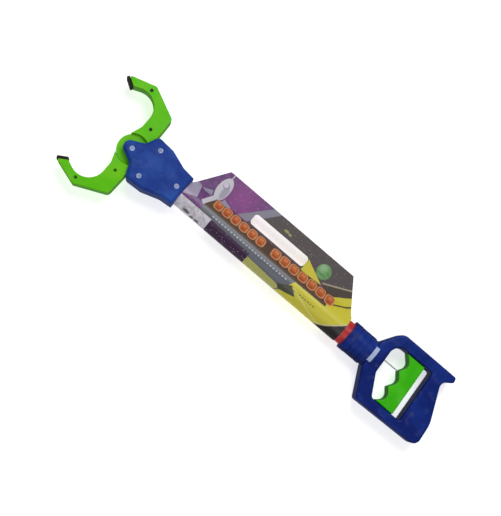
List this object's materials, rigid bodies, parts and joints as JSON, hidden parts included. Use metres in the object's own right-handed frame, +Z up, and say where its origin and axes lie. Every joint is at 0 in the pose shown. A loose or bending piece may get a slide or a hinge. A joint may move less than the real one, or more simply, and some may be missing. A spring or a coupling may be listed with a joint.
{
  "type": "toy reaching grabber",
  "caption": "Toy reaching grabber: a sliding trigger in a D-shaped handle pulls a wire through a tube and closes hooked claws; a folded display card wraps the tube.",
  "frame": {"origin": "on the resting plane, below the middle of the tube's axis", "axes": "+X along the tube towards the claws, +Z up out of the broad face, the card's flag towards -Y"},
  "size_m": [0.5254, 0.1474, 0.037],
  "materials": {
    "blue_plastic": "semi-gloss injection moulded",
    "green_plastic": "semi-gloss injection moulded",
    "red_plastic": "glossy extruded",
    "black_rubber": "matt",
    "bright_steel": "zinc plated",
    "grey_nylon": "matt moulded",
    "printed_card": "coated print",
    "pale_plate": "satin"
  },
  "bodies": {
    "root": {"head_top_shell": "blue_plastic", "head_bottom_shell": "blue_plastic", "handle_top_shell": "blue_plastic", "handle_bottom_shell": "blue_plastic", "head_screws": "bright_steel", "handle_screws": "bright_steel", "pivot_bush": "bright_steel", "front_tube_plug": "grey_nylon", "rear_tube_plug": "grey_nylon", "red_tube": "red_plastic", "display_card": "printed_card", "neck_badge": "pale_plate", "return_spring": "bright_steel"},
    "pull": {"trigger": "green_plastic", "pull_wire": "bright_steel", "front_ferrule": "bright_steel", "rear_ferrule": "bright_steel", "pull_yoke": "grey_nylon", "drive_pin": "bright_steel"},
    "left_claw": {"left_claw": "green_plastic", "left_claw_cover": "green_plastic", "left_claw_pad": "black_rubber", "left_claw_screws": "bright_steel"},
    "right_claw": {"right_claw": "green_plastic", "right_claw_cover": "green_plastic", "right_claw_pad": "black_rubber", "right_claw_screws": "bright_steel"}
  },
  "joints": [
    {"name": "trigger_slide", "type": "slide", "parent": "root", "child": "pull", "axis": [-1, 0, 0], "range_m": [0, 0.008], "stiffness_N_per_m": 400, "springref_m": -0.004, "deforming": ["return_spring"]},
    {"name": "left_claw_hinge", "type": "hinge", "parent": "root", "child": "left_claw", "pos_m": [0.203, 0, 0.0185], "axis": [0, 0, 1], "range_deg": [-45, 0]},
    {"name": "right_claw_hinge", "type": "hinge", "parent": "root", "child": "right_claw", "pos_m": [0.203, 0, 0.0185], "axis": [0, 0, 1], "range_deg": [0, 45]}
  ],
  "couplings": [
    {"joint": "left_claw_hinge", "follows": "trigger_slide", "rad_per_m": -98.17},
    {"joint": "right_claw_hinge", "follows": "trigger_slide", "rad_per_m": 98.17}
  ]
}
